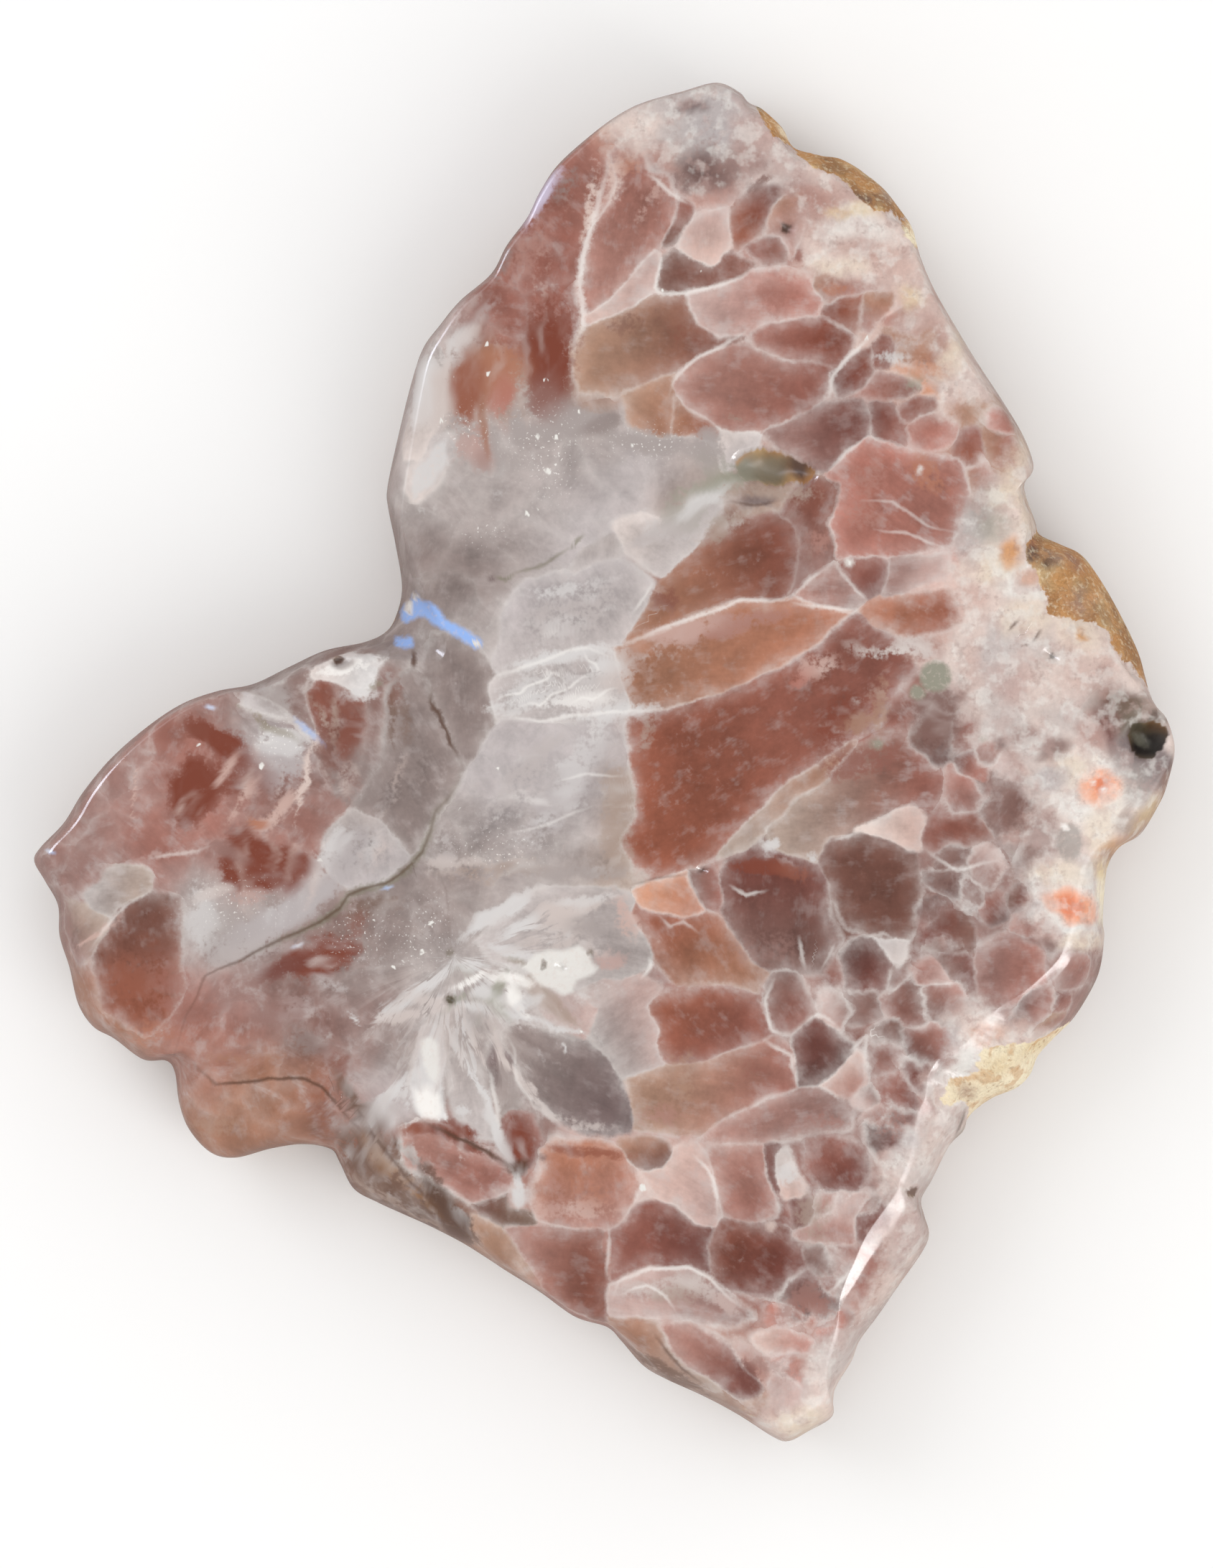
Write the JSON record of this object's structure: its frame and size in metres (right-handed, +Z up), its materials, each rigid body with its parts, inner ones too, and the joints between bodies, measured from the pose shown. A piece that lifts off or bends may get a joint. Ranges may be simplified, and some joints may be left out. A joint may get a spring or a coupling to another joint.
{
  "type": "amethyst slice",
  "caption": "Flat polished slab of pink amethyst with a rounded natural outline, open pits and a rough crusted edge, resting on its sawn underside.",
  "frame": {"origin": "centre of the slab's box, on the plane of its flat underside", "axes": "+Z up out of the polished face, +Y along the slab's length towards its upper tip, +X to the right seen from above"},
  "size_m": [0.105, 0.1252, 0.018],
  "materials": {
    "amethyst": "polished, rose-brown to lavender-grey with a pale rim"
  },
  "bodies": {
    "root": {"amethyst_slice": "amethyst"}
  },
  "joints": []
}
